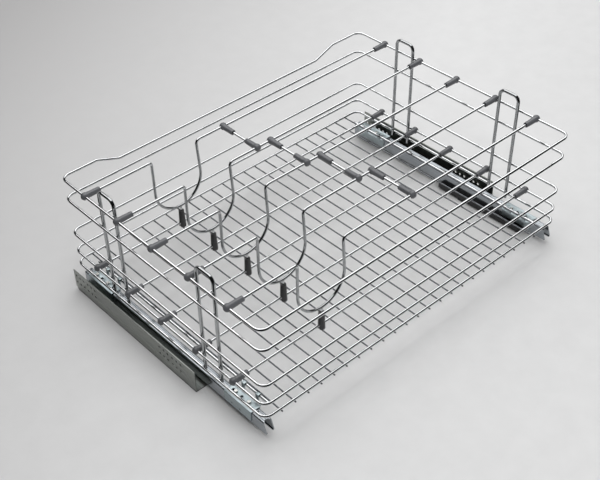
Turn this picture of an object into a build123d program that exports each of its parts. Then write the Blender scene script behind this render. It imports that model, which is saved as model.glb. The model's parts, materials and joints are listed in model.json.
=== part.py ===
from build123d import *
from math import cos, radians, sin, sqrt
import os

# Pull-out pan basket on a pair of under-mounted rails, for the inside of a cabinet.
# Millimetres. X runs across the cabinet, Y from the front to the back, Z up.
# The origin is on the cabinet floor, under the middle of the basket, with the basket pushed in.
# Distances named "in" are measured inwards from the cabinet's inner side wall.

# Overall sizes
cabinet_inside_width = 664.0
rail_length = 450.0
overall_height = 239.25
rail_set_forward = 3.5
basket_overhang = 5.0
basket_inset = 14.5
corner_radius = 14.0
ring_wire = 4.5

# Where the middle three rings lie between the bottom and top ones, as shares of that height
lower_ring_share = 0.15491
middle_ring_share = 0.37251
upper_ring_share = 0.77396

# The top ring's back side is lowered in the middle
back_drop = 15.4
back_high_gap = 65.5
back_slope_run = 40.0
back_bend_radius = 10.0

# Floor of the basket
floor_wire = 2.5
floor_wire_count = 24
floor_edge_gap = 30.0
floor_wire_overhang = 1.25
side_rod = 4.5
side_rod_end_gap = 22.0
side_rod_lift = 9.5
floor_above_rod = 1.0

# Upright loops inside the short sides
loop_wire = 5.5
loop_gauge = 37.0
loop_row_gap = 12.0
loop_rise = 26.1
loop_corner_radius = 10.0
loop_foot_drop = 4.5

# Rows of dividers and the straight wires under them
row_count = 5
row_end_gap = 64.6
long_wire = 4.5
wire_end_gap = 3.6
dip_side_gap = 122.6
dip_radius = 45.4
dip_centre_share = 0.3701
dip_lean = 3.5
dip_bend_radius = 5.0

# Posts under the dips
post_pin = 4.0
post_top_width = 9.4
post_foot_width = 11.9
post_neck = 6.8
post_below_wire = 8.2
post_pin_depth = 12.0

# Links between neighbouring dividers
link_first_x = -51.7
link_step = 28.1

# Grey T-sleeves
sleeve_head = 11.8
sleeve_body = 10.3
sleeve_tail = 9.5
sleeve_length = 26.5
link_sleeve_length = 26.0
sleeve_bore_end = 3.3
clip_gap = 3.8
bore_clearance = 0.1

# Cabinet rail, a bent sheet with a track on it
flange_height = 40.0
flange_front_gap = 136.5
sheet = 1.5
flange_chamfer = 7.0
track_height = 17.1
track_wall = 1.2
hole = 4.5
hole_columns = 6
hole_pitch = 10.0
hole_middle_pitch = 11.4
hole_rows = 2
hole_row_pitch = 13.0
hole_top_gap = 8.6
rear_hole_gap = 33.1
front_hole_gap = 59.0

# Rails above the track
rail_centre_in = 24.5
drawer_rail_width = 15.0
drawer_rail_wall = 1.5
drawer_rail_height = 20.0
rail_lip = 1.2
rail_side_gap = 1.5
rail_edge_radius = 2.5
middle_rail_wall = 1.2
middle_rail_height = 16.9
drawer_rail_back_gap = 5.0
middle_rail_front_gap = 65.0
middle_rail_back_gap = 5.0
track_side_gap = 1.3
notch_radius = 4.5
notch_depth = 9.0
ear_run = 6.0
ear_foot = 3.0
end_hole = 5.0
front_end_hole_gap = 26.5
rear_end_hole_gap = 80.0
slot_length = 14.5
slot_width = 2.5
slot_front_gap = 230.5
slot_pitch = 83.5

# Rollers and their cages
roller = 4.0
roller_gap = 0.3
roller_pitch = 20.0
pocket_gap = 0.2
cage_gap = 0.3
cage_trim = 0.2
cage_end = 9.0
lower_roller_count = 5
upper_roller_count = 6
upper_roller_width = 8.0
lower_roller_width = 4.0

# Saddle brackets that carry the basket
bracket_sheet = 1.5
bracket_leg = 17.0
front_bracket_gap = 30.7
front_bracket_length = 58.8
rear_bracket_gap = 11.7
rear_bracket_length = 64.9
bracket_corner_radius = 8.0
bracket_edge_radius = 1.0
leg_hole = 3.2
front_leg_hole_drop = 12.5
rear_leg_hole_drop = 5.5
lug_width = 6.5
lug_over = 1.0
lug_clearance = 0.1
screw_offset = 2.5
plate_hole = 4.5
screw_shank = 3.5
screw_head = 6.4
screw_head_height = 2.2
screw_recess = 2.6
screw_recess_depth = 1.0

# Places along each bracket: the first of a pair behind the bracket's front end, and their pitch
front_lug_first = 11.0
front_lug_pitch = 30.3
rear_lug_first = 8.6
rear_lug_pitch = 31.9
front_leg_hole_first = 24.6
front_leg_hole_pitch = 17.4
rear_leg_hole_first = 26.6
rear_leg_hole_pitch = 15.5
front_screw_first = 16.6
front_screw_pitch = 28.6
rear_screw_first = 25.1
rear_screw_pitch = 29.7
front_plate_hole_first = 32.1
front_plate_hole_pitch = 18.5
rear_plate_hole_first = 11.5
rear_plate_hole_pitch = 30.0

# Soft-close units under the drawer rails
housing_width = 9.0
housing_height = 9.0
housing_bottom = 3.0
housing_lead = 127.0
housing_length = 180.5
housing_wall = 1.0
inner_gap = 0.3
damper_length = 75.0
damper_wall = 1.0
damper_rod = 1.8
piston_length = 4.0
piston_gap = 0.2
piston_back = 34.0
catch_length = 12.0
striker_gap = 35.0
catch_travel = 35.0
hook_width = 3.0
hook_length = 8.0
hook_gap = 0.3
striker_head = 5.0
striker_shank = 3.0
striker_clearance = 0.4
striker_tab_half = 8.0

# Worked out from the sizes above
wall_x = cabinet_inside_width / 2
ring_x = wall_x - basket_inset
wire_r = ring_wire / 2
rod_r = side_rod / 2
floor_r = floor_wire / 2
loop_r = loop_wire / 2
rail_front = -rail_length / 2 - rail_set_forward
rail_back = rail_length / 2 - rail_set_forward
ring_y = rail_length / 2 + basket_overhang
flange_front = rail_front + flange_front_gap
middle_rail_front = rail_front + middle_rail_front_gap
middle_rail_back = rail_back - middle_rail_back_gap
drawer_rail_back = rail_back - drawer_rail_back_gap

lower_roller_z = track_height + roller_gap + roller / 2
middle_top = lower_roller_z + roller / 2 + roller_gap + middle_rail_wall
upper_roller_z = middle_top + roller_gap + roller / 2
drawer_rail_inner_top = upper_roller_z + roller / 2 + roller_gap
drawer_rail_top = drawer_rail_inner_top + drawer_rail_wall
bracket_top = drawer_rail_top + bracket_sheet

rod_z = bracket_top + side_rod_lift
floor_z = rod_z + floor_above_rod
bottom_z = floor_z + floor_r + wire_r
top_z = overall_height - loop_r - loop_rise
basket_height = top_z - bottom_z
lower_z = bottom_z + lower_ring_share * basket_height
middle_z = bottom_z + middle_ring_share * basket_height
upper_z = bottom_z + upper_ring_share * basket_height

floor_half = ring_x - floor_edge_gap
floor_pitch = 2 * floor_half / (floor_wire_count - 1)
rod_x = floor_half + sqrt((rod_r + floor_r) ** 2 - floor_above_rod ** 2)
rod_in = wall_x - rod_x
screw_x = wall_x - rail_centre_in - screw_offset

middle_rail_width = drawer_rail_width - 2 * drawer_rail_wall - 2 * rail_side_gap
track_width = middle_rail_width - 2 * middle_rail_wall - 2 * track_side_gap
bracket_width = drawer_rail_width + 2 * bracket_sheet

first_row = row_end_gap - ring_y
row_pitch = -2 * first_row / (row_count - 1)
row_places = [first_row + i * row_pitch for i in range(row_count)]
dip_left = dip_side_gap - ring_x
dip_centre_drop = dip_centre_share * basket_height
post_x = dip_left + dip_radius

lower_cage_place = (flange_front + middle_rail_back) / 2
upper_cage_place = (middle_rail_front + middle_rail_back) / 2
catch_place = flange_front + striker_gap
nodes = {}


def box_in(in0, in1, y0, y1, z0, z1):
    """A block on the right side, placed by its distances in from the cabinet wall."""
    middle = Pos(wall_x - (in0 + in1) / 2, (y0 + y1) / 2, (z0 + z1) / 2)
    return middle * Box(in1 - in0, y1 - y0, z1 - z0)


def rod_along_x(x0, x1, y, z, radius):
    return Pos((x0 + x1) / 2, y, z) * Rot(0, 90, 0) * Cylinder(radius, x1 - x0)


def rod_along_y(x, y0, y1, z, radius):
    return Pos(x, (y0 + y1) / 2, z) * Rot(90, 0, 0) * Cylinder(radius, y1 - y0)


def rod_along_z(x, y, z0, z1, radius):
    return Pos(x, y, (z0 + z1) / 2) * Cylinder(radius, z1 - z0)


def bent_wire(path, diameter):
    start = Plane(origin=path @ 0, z_dir=path % 0)
    return sweep(start * Circle(diameter / 2), path=path)


def group(pieces):
    return Compound(children=list(pieces))


def pair(start, first, pitch):
    """Two places along Y, the first one so far behind the start."""
    return [start + first, start + first + pitch]


def both_sides(name, right_piece):
    nodes["right_" + name] = right_piece
    nodes["left_" + name] = mirror(right_piece, about=Plane.YZ)


# Rings

def plain_ring(z):
    corners = [(-ring_x, -ring_y, z), (ring_x, -ring_y, z), (ring_x, ring_y, z), (-ring_x, ring_y, z)]
    return bent_wire(FilletPolyline(*corners, radius=corner_radius, close=True), ring_wire)


def lowered_ring(z):
    low = z - back_drop
    back_high_half = ring_x - back_high_gap
    back_low_half = back_high_half - back_slope_run
    corners = [
        (-ring_x, -ring_y, z),
        (ring_x, -ring_y, z),
        (ring_x, ring_y, z),
        (back_high_half, ring_y, z),
        (back_low_half, ring_y, low),
        (-back_low_half, ring_y, low),
        (-back_high_half, ring_y, z),
        (-ring_x, ring_y, z),
    ]
    radii = [corner_radius] * 3 + [back_bend_radius] * 4 + [corner_radius]
    return bent_wire(FilletPolyline(*corners, radius=radii, close=True), ring_wire)


nodes["bottom_ring"] = plain_ring(bottom_z)
nodes["lower_ring"] = plain_ring(lower_z)
nodes["middle_ring"] = plain_ring(middle_z)
nodes["upper_ring"] = plain_ring(upper_z)
nodes["top_ring"] = lowered_ring(top_z)


# Floor wires, welded under the bottom ring, and the thicker rods beside the outer two

floor_end = ring_y + wire_r + floor_wire_overhang
nodes["floor_wires"] = group(
    rod_along_y(-floor_half + i * floor_pitch, -floor_end, floor_end, floor_z, floor_r)
    for i in range(floor_wire_count)
)
rod_end = ring_y - side_rod_end_gap
both_sides("side_rod", rod_along_y(rod_x, -rod_end, rod_end, rod_z, rod_r))


# Upright loops, each one inverted U that touches the inside of every ring

def upright_loop(y_middle):
    y0 = y_middle - loop_gauge / 2
    y1 = y_middle + loop_gauge / 2
    foot = bottom_z - loop_foot_drop
    head = top_z + loop_rise
    outline = FilletPolyline((y0, foot), (y0, head), (y1, head), (y1, foot), radius=loop_corner_radius)
    return bent_wire(Plane.YZ.offset(ring_x - wire_r - loop_r) * outline, loop_wire)


loop_place = row_places[-2] + loop_row_gap + loop_gauge / 2
both_sides("front_loop", upright_loop(-loop_place))
both_sides("rear_loop", upright_loop(loop_place))


# Straight wires at the lower ring and dipped divider wires at the top ring

wire_end_x = ring_x - wire_end_gap


def divider_outline():
    """From the left end: along the top, down, round the dip, up a leaning leg and along again."""
    heading = 90 + dip_lean
    arc_end_z = top_z - dip_centre_drop + dip_radius * sin(radians(dip_lean))
    leg_top_z = top_z - dip_bend_radius * (1 - cos(radians(heading)))
    leg = (leg_top_z - arc_end_z) / sin(radians(heading))
    left_run = Line((-wire_end_x, top_z), (dip_left - dip_bend_radius, top_z))
    first_bend = JernArc(left_run @ 1, left_run % 1, dip_bend_radius, -90)
    left_leg = Line(first_bend @ 1, (dip_left, top_z - dip_centre_drop))
    dip = JernArc(left_leg @ 1, left_leg % 1, dip_radius, 180 + dip_lean)
    right_leg = Line(dip @ 1, dip @ 1 + (dip % 1) * leg)
    last_bend = JernArc(right_leg @ 1, right_leg % 1, dip_bend_radius, -heading)
    right_run = Line(last_bend @ 1, (wire_end_x, top_z))
    return Wire([left_run, first_bend, left_leg, dip, right_leg, last_bend, right_run])


divider = bent_wire(Plane.XZ * divider_outline(), long_wire)
for number, row_y in enumerate(row_places, start=1):
    nodes[f"lower_wire_{number}"] = rod_along_x(-wire_end_x, wire_end_x, row_y, lower_z, long_wire / 2)
    nodes[f"divider_wire_{number}"] = Pos(0, row_y, 0) * divider


# Posts: a pin welded under each dip, in a sleeve that clips on the wire below

dip_bottom = top_z - dip_centre_drop - dip_radius - long_wire / 2
post_bottom = lower_z - post_below_wire
post_top = dip_bottom - post_neck
post_height = post_top - post_bottom


def post_sleeve(y):
    body = Pos(post_x, y, (post_bottom + post_top) / 2) * Cone(
        post_foot_width / 2, post_top_width / 2, post_height
    )
    body = chamfer(body.edges().sort_by(Axis.Z)[-1], 0.8)
    wire_radius = long_wire / 2 + bore_clearance
    half = post_foot_width
    body -= rod_along_x(post_x - half, post_x + half, y, lower_z, wire_radius)
    opening = Pos(post_x, y, lower_z - half / 2) * Box(2 * half, clip_gap, half)
    pin_bore = rod_along_z(post_x, y, post_top - post_pin_depth, post_top, post_pin / 2 + bore_clearance)
    return body - opening - pin_bore


nodes["post_sleeves"] = group(post_sleeve(y) for y in row_places)
nodes["post_pins"] = group(
    rod_along_z(post_x, y, post_top - post_pin_depth + bore_clearance, dip_bottom, post_pin / 2)
    for y in row_places
)


# T-sleeves: a round head that clips on the cross wire, and a tapered tail for the long wire

def t_sleeve(length):
    """Head at the origin round a wire along Y, tail along minus X, with its clip open below."""
    body = Sphere(sleeve_head / 2)
    tail_cone = Rot(0, -90, 0) * Cone(sleeve_body / 2, sleeve_tail / 2, length)
    body += Pos(-length / 2, 0, 0) * tail_cone
    tail_edge = body.edges().sort_by(Axis.X)[0]
    body = fillet(tail_edge, 0.8)
    cross_radius = ring_wire / 2 + bore_clearance
    body -= rod_along_y(0, -sleeve_head, sleeve_head, 0, cross_radius)
    body -= rod_along_x(-length - 1, -sleeve_bore_end, 0, 0, long_wire / 2 + bore_clearance)
    return body - Pos(0, 0, -sleeve_head / 2) * Box(clip_gap, 2 * sleeve_head, sleeve_head)


side_sleeve = t_sleeve(sleeve_length)
link_sleeve = t_sleeve(link_sleeve_length)
both_sides("upper_sleeves", group(Pos(ring_x, y, top_z) * side_sleeve for y in row_places))
both_sides("lower_sleeves", group(Pos(ring_x, y, lower_z) * side_sleeve for y in row_places))


# Links: short wires between neighbouring dividers, a sleeve at each end

link_wires = []
link_sleeves = []
for i in range(row_count - 1):
    link_x = link_first_x + i * link_step
    rear_y = row_places[row_count - 1 - i]
    front_y = row_places[row_count - 2 - i]
    link_wires.append(rod_along_y(link_x, front_y + wire_end_gap, rear_y - wire_end_gap, top_z, long_wire / 2))
    link_sleeves.append(Pos(link_x, rear_y, top_z) * Rot(0, 0, 90) * link_sleeve)
    link_sleeves.append(Pos(link_x, front_y, top_z) * Rot(0, 0, -90) * link_sleeve)
nodes["link_wires"] = group(link_wires)
nodes["link_sleeves"] = group(link_sleeves)


# Cabinet rail: screwed to the cabinet wall through the flange

def hole_places(middle):
    """Hole centres along Y: two runs of holes with a wider step between them."""
    half_run = hole_columns // 2
    first = [hole_middle_pitch / 2 + i * hole_pitch for i in range(half_run)]
    return [middle + s * place for place in first for s in (-1, 1)]


def cabinet_rail():
    rail = box_in(0, sheet, flange_front, rail_back, 0, flange_height)
    track_in = rail_centre_in - track_width / 2
    rail += box_in(0, track_in + track_width, flange_front, rail_back, 0, sheet)
    rail += box_in(track_in, track_in + track_width, flange_front, rail_back, 0, track_height)
    rail -= box_in(
        track_in + track_wall,
        track_in + track_width - track_wall,
        flange_front,
        rail_back,
        sheet,
        track_height - track_wall,
    )
    tab_end = rail_centre_in + drawer_rail_width / 2 + housing_width
    rail += box_in(
        track_in, tab_end, catch_place - striker_tab_half, catch_place + striker_tab_half, 0, sheet
    )
    rail -= striker_place() * Cylinder(striker_shank / 2, 3 * sheet)
    corner = [(rail_back - flange_chamfer, 0), (rail_back, 0), (rail_back, flange_chamfer)]
    wedge = extrude(Plane.YZ * make_face(Polyline(*corner, close=True)), sheet)
    rail -= Pos(wall_x - sheet, 0, 0) * wedge
    for middle in (rail_back - rear_hole_gap, flange_front + front_hole_gap):
        for y in hole_places(middle):
            for row in range(hole_rows):
                z = flange_height - hole_top_gap - row * hole_row_pitch
                rail -= rod_along_x(wall_x - 2 * sheet, wall_x + sheet, y, z, hole / 2)
    return rail


housing_in = rail_centre_in + drawer_rail_width / 2


def striker_place():
    return Pos(wall_x - housing_in - housing_width / 2, catch_place, 0)


def striker_pin():
    head_top = housing_bottom - striker_clearance
    x = wall_x - housing_in - housing_width / 2
    pin = rod_along_z(x, catch_place, 0, head_top, striker_shank / 2)
    return pin + rod_along_z(x, catch_place, sheet, head_top, striker_head / 2)


both_sides("cabinet_rail", cabinet_rail())
both_sides("striker_pin", striker_pin())


# Places of the screws and holes that the drawer rails share with the brackets on them

front_bracket_front = rail_front + front_bracket_gap
rear_bracket_front = drawer_rail_back - rear_bracket_gap - rear_bracket_length
front_screws = pair(front_bracket_front, front_screw_first, front_screw_pitch)
rear_screws = pair(rear_bracket_front, rear_screw_first, rear_screw_pitch)
front_plate_holes = pair(front_bracket_front, front_plate_hole_first, front_plate_hole_pitch)
rear_plate_holes = pair(rear_bracket_front, rear_plate_hole_first, rear_plate_hole_pitch)


# Middle and drawer rails: channels open at the bottom

def channel(width, wall, top, height, y0, y1):
    in0 = rail_centre_in - width / 2
    in1 = rail_centre_in + width / 2
    outside = box_in(in0, in1, y0, y1, top - height, top)
    return outside - box_in(in0 + wall, in1 - wall, y0, y1, top - height, top - wall)


def middle_rail():
    half = middle_rail_width / 2
    bottom = middle_top - middle_rail_height
    rail = channel(
        middle_rail_width, middle_rail_wall, middle_top, middle_rail_height, middle_rail_front, middle_rail_back
    )
    for in0, in1 in ((-half - rail_lip, -half), (half, half + rail_lip)):
        rail += box_in(
            rail_centre_in + in0,
            rail_centre_in + in1,
            middle_rail_front,
            middle_rail_back,
            bottom,
            bottom + middle_rail_wall,
        )
    return rail


def drawer_rail():
    half = drawer_rail_width / 2
    bottom = drawer_rail_top - drawer_rail_height
    rail = channel(
        drawer_rail_width, drawer_rail_wall, drawer_rail_top, drawer_rail_height, rail_front, drawer_rail_back
    )
    inner_edges = rail.edges().filter_by(Axis.Y).group_by(Axis.Z)[-2]
    rail = fillet(inner_edges, rail_edge_radius - drawer_rail_wall)
    outer_edges = rail.edges().filter_by(Axis.Y).group_by(Axis.Z)[-1]
    rail = fillet(outer_edges, rail_edge_radius)
    lip_start = half - drawer_rail_wall
    for in0, in1 in ((-lip_start, rail_lip - lip_start), (lip_start - rail_lip, lip_start)):
        rail += box_in(
            rail_centre_in + in0,
            rail_centre_in + in1,
            rail_front,
            drawer_rail_back,
            bottom,
            bottom + drawer_rail_wall,
        )
    x = wall_x - rail_centre_in
    notch_end = rail_front + notch_depth - notch_radius
    rail -= rod_along_z(x, notch_end, drawer_rail_inner_top, drawer_rail_top, notch_radius)
    rail -= box_in(
        rail_centre_in - notch_radius,
        rail_centre_in + notch_radius,
        rail_front,
        notch_end,
        drawer_rail_inner_top,
        drawer_rail_top,
    )
    ear_top = rail_front + ear_run
    ear = [(rail_front, bottom + ear_foot), (ear_top, drawer_rail_top), (rail_front, drawer_rail_top)]
    ear_wedge = extrude(Plane.YZ * make_face(Polyline(*ear, close=True)), drawer_rail_width)
    rail -= Pos(x - half, 0, 0) * ear_wedge
    for y in (rail_front + front_end_hole_gap, drawer_rail_back - rear_end_hole_gap):
        rail -= rod_along_z(x, y, drawer_rail_inner_top, drawer_rail_top, end_hole / 2)
    for y in pair(rail_front, slot_front_gap, slot_pitch):
        rail -= box_in(
            rail_centre_in - slot_width / 2,
            rail_centre_in + slot_width / 2,
            y - slot_length / 2,
            y + slot_length / 2,
            drawer_rail_inner_top,
            drawer_rail_top,
        )
    screw_hole = screw_shank / 2 + bore_clearance
    for y in front_screws + rear_screws:
        rail -= rod_along_z(screw_x, y, drawer_rail_inner_top, drawer_rail_top, screw_hole)
    for y in front_plate_holes + rear_plate_holes:
        rail -= rod_along_z(screw_x, y, drawer_rail_inner_top, drawer_rail_top, plate_hole / 2)
    return rail


both_sides("middle_rail", middle_rail())
both_sides("drawer_rail", drawer_rail())


# Rollers and cages

def roller_places(middle, count):
    return [middle + roller_pitch * (i - (count - 1) / 2) for i in range(count)]


def rollers(middle, count, z, width):
    x = wall_x - rail_centre_in
    places = roller_places(middle, count)
    return group(rod_along_x(x - width / 2, x + width / 2, y, z, roller / 2) for y in places)


def cage(middle, count, z, width, roller_width):
    half_length = roller_pitch * (count - 1) / 2 + cage_end
    half_height = roller / 2 - cage_trim
    in0 = rail_centre_in - width / 2
    in1 = rail_centre_in + width / 2
    strip = box_in(in0, in1, middle - half_length, middle + half_length, z - half_height, z + half_height)
    pocket_half = roller_width / 2 + pocket_gap
    reach = roller / 2 + pocket_gap
    for y in roller_places(middle, count):
        strip -= box_in(
            rail_centre_in - pocket_half, rail_centre_in + pocket_half, y - reach, y + reach, z - roller, z + roller
        )
    return strip


lower_cage_width = middle_rail_width - 2 * middle_rail_wall - 2 * cage_gap
upper_cage_width = drawer_rail_width - 2 * drawer_rail_wall - 2 * cage_gap
both_sides("lower_rollers", rollers(lower_cage_place, lower_roller_count, lower_roller_z, lower_roller_width))
both_sides("upper_rollers", rollers(upper_cage_place, upper_roller_count, upper_roller_z, upper_roller_width))
both_sides(
    "lower_cage",
    cage(lower_cage_place, lower_roller_count, lower_roller_z, lower_cage_width, lower_roller_width),
)
both_sides(
    "upper_cage",
    cage(upper_cage_place, upper_roller_count, upper_roller_z, upper_cage_width, upper_roller_width),
)


# Saddle brackets: screwed over the drawer rail, with lugs that hook the side rod

def lug(y):
    y0 = y - lug_width / 2
    y1 = y + lug_width / 2
    wall_end = rod_in - rod_r - lug_clearance
    over_bottom = rod_z + rod_r + lug_clearance
    over_top = over_bottom + bracket_sheet
    wall = box_in(wall_end - bracket_sheet, wall_end, y0, y1, drawer_rail_top, over_top)
    return wall + box_in(wall_end - bracket_sheet, rod_in + lug_over, y0, y1, over_bottom, over_top)


def bracket(front, length, lug_places, leg_holes, leg_hole_drop, screws, plate_holes):
    back = front + length
    outer = rail_centre_in - bracket_width / 2
    inner = rail_centre_in + bracket_width / 2
    plate_end = rod_in - rod_r - lug_clearance
    leg_bottom = bracket_top - bracket_leg
    saddle = box_in(outer, inner, front, back, leg_bottom, bracket_top)
    saddle -= box_in(outer + bracket_sheet, inner - bracket_sheet, front, back, leg_bottom, drawer_rail_top)
    top_edge = saddle.edges().filter_by(Axis.Y).group_by(Axis.Z)[-1].sort_by(Axis.X)[-1]
    saddle = fillet(top_edge, bracket_edge_radius)
    wing = box_in(inner - bracket_sheet, plate_end, front, back, drawer_rail_top, bracket_top)
    wing_corners = wing.edges().filter_by(Axis.Z).group_by(Axis.X)[0]
    wing_reach = plate_end - inner
    saddle += fillet(wing_corners, min(bracket_corner_radius, 0.9 * (wing_reach + bracket_sheet)))
    for y in lug_places:
        saddle += lug(y)
    for y in leg_holes:
        reach = wall_x - outer + bracket_sheet
        saddle -= rod_along_x(reach - 3 * bracket_sheet, reach, y, bracket_top - leg_hole_drop, leg_hole / 2)
    for y in screws:
        saddle -= rod_along_z(screw_x, y, drawer_rail_top, bracket_top, screw_shank / 2 + bore_clearance)
    for y in plate_holes:
        saddle -= rod_along_z(screw_x, y, drawer_rail_top, bracket_top, plate_hole / 2)
    return saddle


def bracket_screw(x, y):
    screw = rod_along_z(x, y, drawer_rail_inner_top, bracket_top, screw_shank / 2)
    head = rod_along_z(x, y, bracket_top, bracket_top + screw_head_height, screw_head / 2)
    head = fillet(head.edges().sort_by(Axis.Z)[-1], screw_head_height / 2)
    head_top = bracket_top + screw_head_height
    recess = rod_along_z(x, y, head_top - screw_recess_depth, head_top, screw_recess / 2)
    return screw + head - recess


both_sides(
    "front_bracket",
    bracket(
        front_bracket_front,
        front_bracket_length,
        pair(front_bracket_front, front_lug_first, front_lug_pitch),
        pair(front_bracket_front, front_leg_hole_first, front_leg_hole_pitch),
        front_leg_hole_drop,
        front_screws,
        front_plate_holes,
    ),
)
both_sides(
    "rear_bracket",
    bracket(
        rear_bracket_front,
        rear_bracket_length,
        pair(rear_bracket_front, rear_lug_first, rear_lug_pitch),
        pair(rear_bracket_front, rear_leg_hole_first, rear_leg_hole_pitch),
        rear_leg_hole_drop,
        rear_screws,
        rear_plate_holes,
    ),
)
nodes["bracket_screws"] = group(
    bracket_screw(side * screw_x, y)
    for side in (-1, 1)
    for y in front_screws + rear_screws
)


# Soft-close unit: a housing on the drawer rail, with a damper and a catch that slides in it

housing_x = wall_x - housing_in - housing_width / 2
housing_z = housing_bottom + housing_height / 2
housing_front = catch_place - housing_lead
housing_back = housing_front + housing_length
cavity = housing_width - 2 * housing_wall
damper_front = housing_front + housing_wall
damper_radius = cavity / 2 - inner_gap
catch_front = catch_place - catch_length / 2
slot_half = hook_width / 2 + hook_gap


def close_housing():
    shell = box_in(
        housing_in,
        housing_in + housing_width,
        housing_front,
        housing_back,
        housing_bottom,
        housing_bottom + housing_height,
    )
    shell -= box_in(
        housing_in + housing_wall,
        housing_in + housing_width - housing_wall,
        damper_front,
        housing_back - housing_wall,
        housing_bottom + housing_wall,
        housing_bottom + housing_height - housing_wall,
    )
    slot_front = catch_place - hook_length / 2 - hook_gap
    slot_back = catch_place + hook_length / 2 + catch_travel + hook_gap
    middle = Pos(housing_x, (slot_front + slot_back) / 2, housing_bottom)
    return shell - middle * Box(2 * slot_half, slot_back - slot_front, 3 * housing_wall)


def close_damper():
    back = damper_front + damper_length
    tube = rod_along_y(housing_x, damper_front, back, housing_z, damper_radius)
    bore = damper_radius - damper_wall
    tube -= rod_along_y(housing_x, damper_front + damper_wall, back - damper_wall, housing_z, bore)
    return tube - rod_along_y(housing_x, back - 2 * damper_wall, back, housing_z, damper_rod / 2 + inner_gap)


def close_rod():
    """The damper's rod, with its piston at the front end, fixed in the catch at the back end."""
    piston_y = damper_front + piston_back
    piston_radius = damper_radius - damper_wall - piston_gap
    rod = rod_along_y(housing_x, piston_y, catch_front, housing_z, damper_rod / 2)
    return rod + rod_along_y(housing_x, piston_y, piston_y + piston_length, housing_z, piston_radius)


def close_catch():
    half = cavity / 2 - inner_gap
    block = Pos(housing_x, catch_place, housing_z) * Box(2 * half, catch_length, 2 * half)
    hook_top = housing_z - half
    hook = Pos(housing_x, catch_place, (housing_bottom + hook_top) / 2)
    return block + hook * Box(hook_width, hook_length, hook_top - housing_bottom)


both_sides("close_housing", close_housing())
both_sides("close_damper", close_damper())
both_sides("close_rod", close_rod())
both_sides("close_catch", close_catch())


# Write one file for each node

os.makedirs("parts", exist_ok=True)
for name, piece in nodes.items():
    export_step(piece, f"parts/{name}.step")
print(len(nodes), "nodes")
print("floor wire pitch", round(floor_pitch, 3))
print("side rod at x", round(rod_x, 3), "z", round(rod_z, 3))
print("bottom ring z", round(bottom_z, 3), "top ring z", round(top_z, 3))
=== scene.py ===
import json
import math

import bmesh
import bpy
import numpy as np
from mathutils import Matrix, Vector

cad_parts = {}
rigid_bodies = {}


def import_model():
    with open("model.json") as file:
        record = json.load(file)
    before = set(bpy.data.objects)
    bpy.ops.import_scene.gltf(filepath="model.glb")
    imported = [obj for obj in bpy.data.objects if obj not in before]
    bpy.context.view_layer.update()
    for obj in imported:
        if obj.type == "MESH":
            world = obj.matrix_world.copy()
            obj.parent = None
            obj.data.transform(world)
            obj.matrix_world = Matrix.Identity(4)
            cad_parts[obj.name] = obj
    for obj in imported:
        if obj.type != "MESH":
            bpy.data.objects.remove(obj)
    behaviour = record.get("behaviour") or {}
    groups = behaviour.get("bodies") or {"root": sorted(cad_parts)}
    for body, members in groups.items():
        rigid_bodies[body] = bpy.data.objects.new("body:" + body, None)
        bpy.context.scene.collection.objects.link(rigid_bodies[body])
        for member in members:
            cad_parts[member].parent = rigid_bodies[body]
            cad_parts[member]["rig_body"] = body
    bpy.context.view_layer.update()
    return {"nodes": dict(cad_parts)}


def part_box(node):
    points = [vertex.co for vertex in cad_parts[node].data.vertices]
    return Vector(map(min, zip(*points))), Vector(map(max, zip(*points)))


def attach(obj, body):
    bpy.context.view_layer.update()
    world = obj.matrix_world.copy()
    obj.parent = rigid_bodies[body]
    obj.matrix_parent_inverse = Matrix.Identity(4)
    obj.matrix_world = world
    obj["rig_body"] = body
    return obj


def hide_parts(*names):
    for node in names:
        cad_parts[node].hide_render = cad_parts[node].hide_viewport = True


# Pull-out pan basket: chromed wire, grey moulded sleeves, zinc-plated rails with soft-close units.
# Metres. X runs across the cabinet, -Y towards the front, Z up, the origin under the middle.

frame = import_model()
nodes = frame["nodes"]
print("frame loaded:", len(nodes), "nodes")


# Small tools

def hexColour(text):  # sRGB hex to the linear colour that shaders take
    channels = [int(text[i:i + 2], 16) / 255 for i in (1, 3, 5)]
    linear = [c / 12.92 if c <= 0.04045 else ((c + 0.055) / 1.055) ** 2.4 for c in channels]
    return (*linear, 1.0)


def addNode(tree, kind, place, inputs=None, **settings):  # a node with its settings, values and links
    node = tree.nodes.new(kind)
    node.location = place
    for name, value in settings.items():
        setattr(node, name, value)
    for name, value in (inputs or {}).items():
        if isinstance(value, bpy.types.NodeSocket):
            tree.links.new(value, node.inputs[name])
        else:
            node.inputs[name].default_value = value
    return node


def gridFaces(rows, columns, closeRows=False, closeColumns=True):
    # Quads between neighbouring points of a rows by columns grid, wrapping round where it closes
    r, c = np.meshgrid(
        np.arange(rows if closeRows else rows - 1),
        np.arange(columns if closeColumns else columns - 1),
        indexing="ij",
    )
    nextR, nextC = (r + 1) % rows, (c + 1) % columns
    corners = (r * columns + c, r * columns + nextC, nextR * columns + nextC, nextR * columns + c)
    return np.stack(corners, -1).reshape(-1, 4)


def copiesOf(points, faces, turns):
    # The same shape at each 4 by 4 turn: point = rotation * point + place, faces shifted by the count
    turns = np.asarray(turns, float)
    moved = np.einsum("nij,pj->npi", turns[:, :3, :3], points) + turns[:, None, :3, 3]
    count = len(points)
    shifted = [[i + k * count for i in face] for k in range(len(turns)) for face in faces]
    return moved.reshape(-1, 3), shifted


def addObject(name, data):
    item = bpy.data.objects.new(name, data)
    bpy.context.scene.collection.objects.link(item)
    return item


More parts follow.
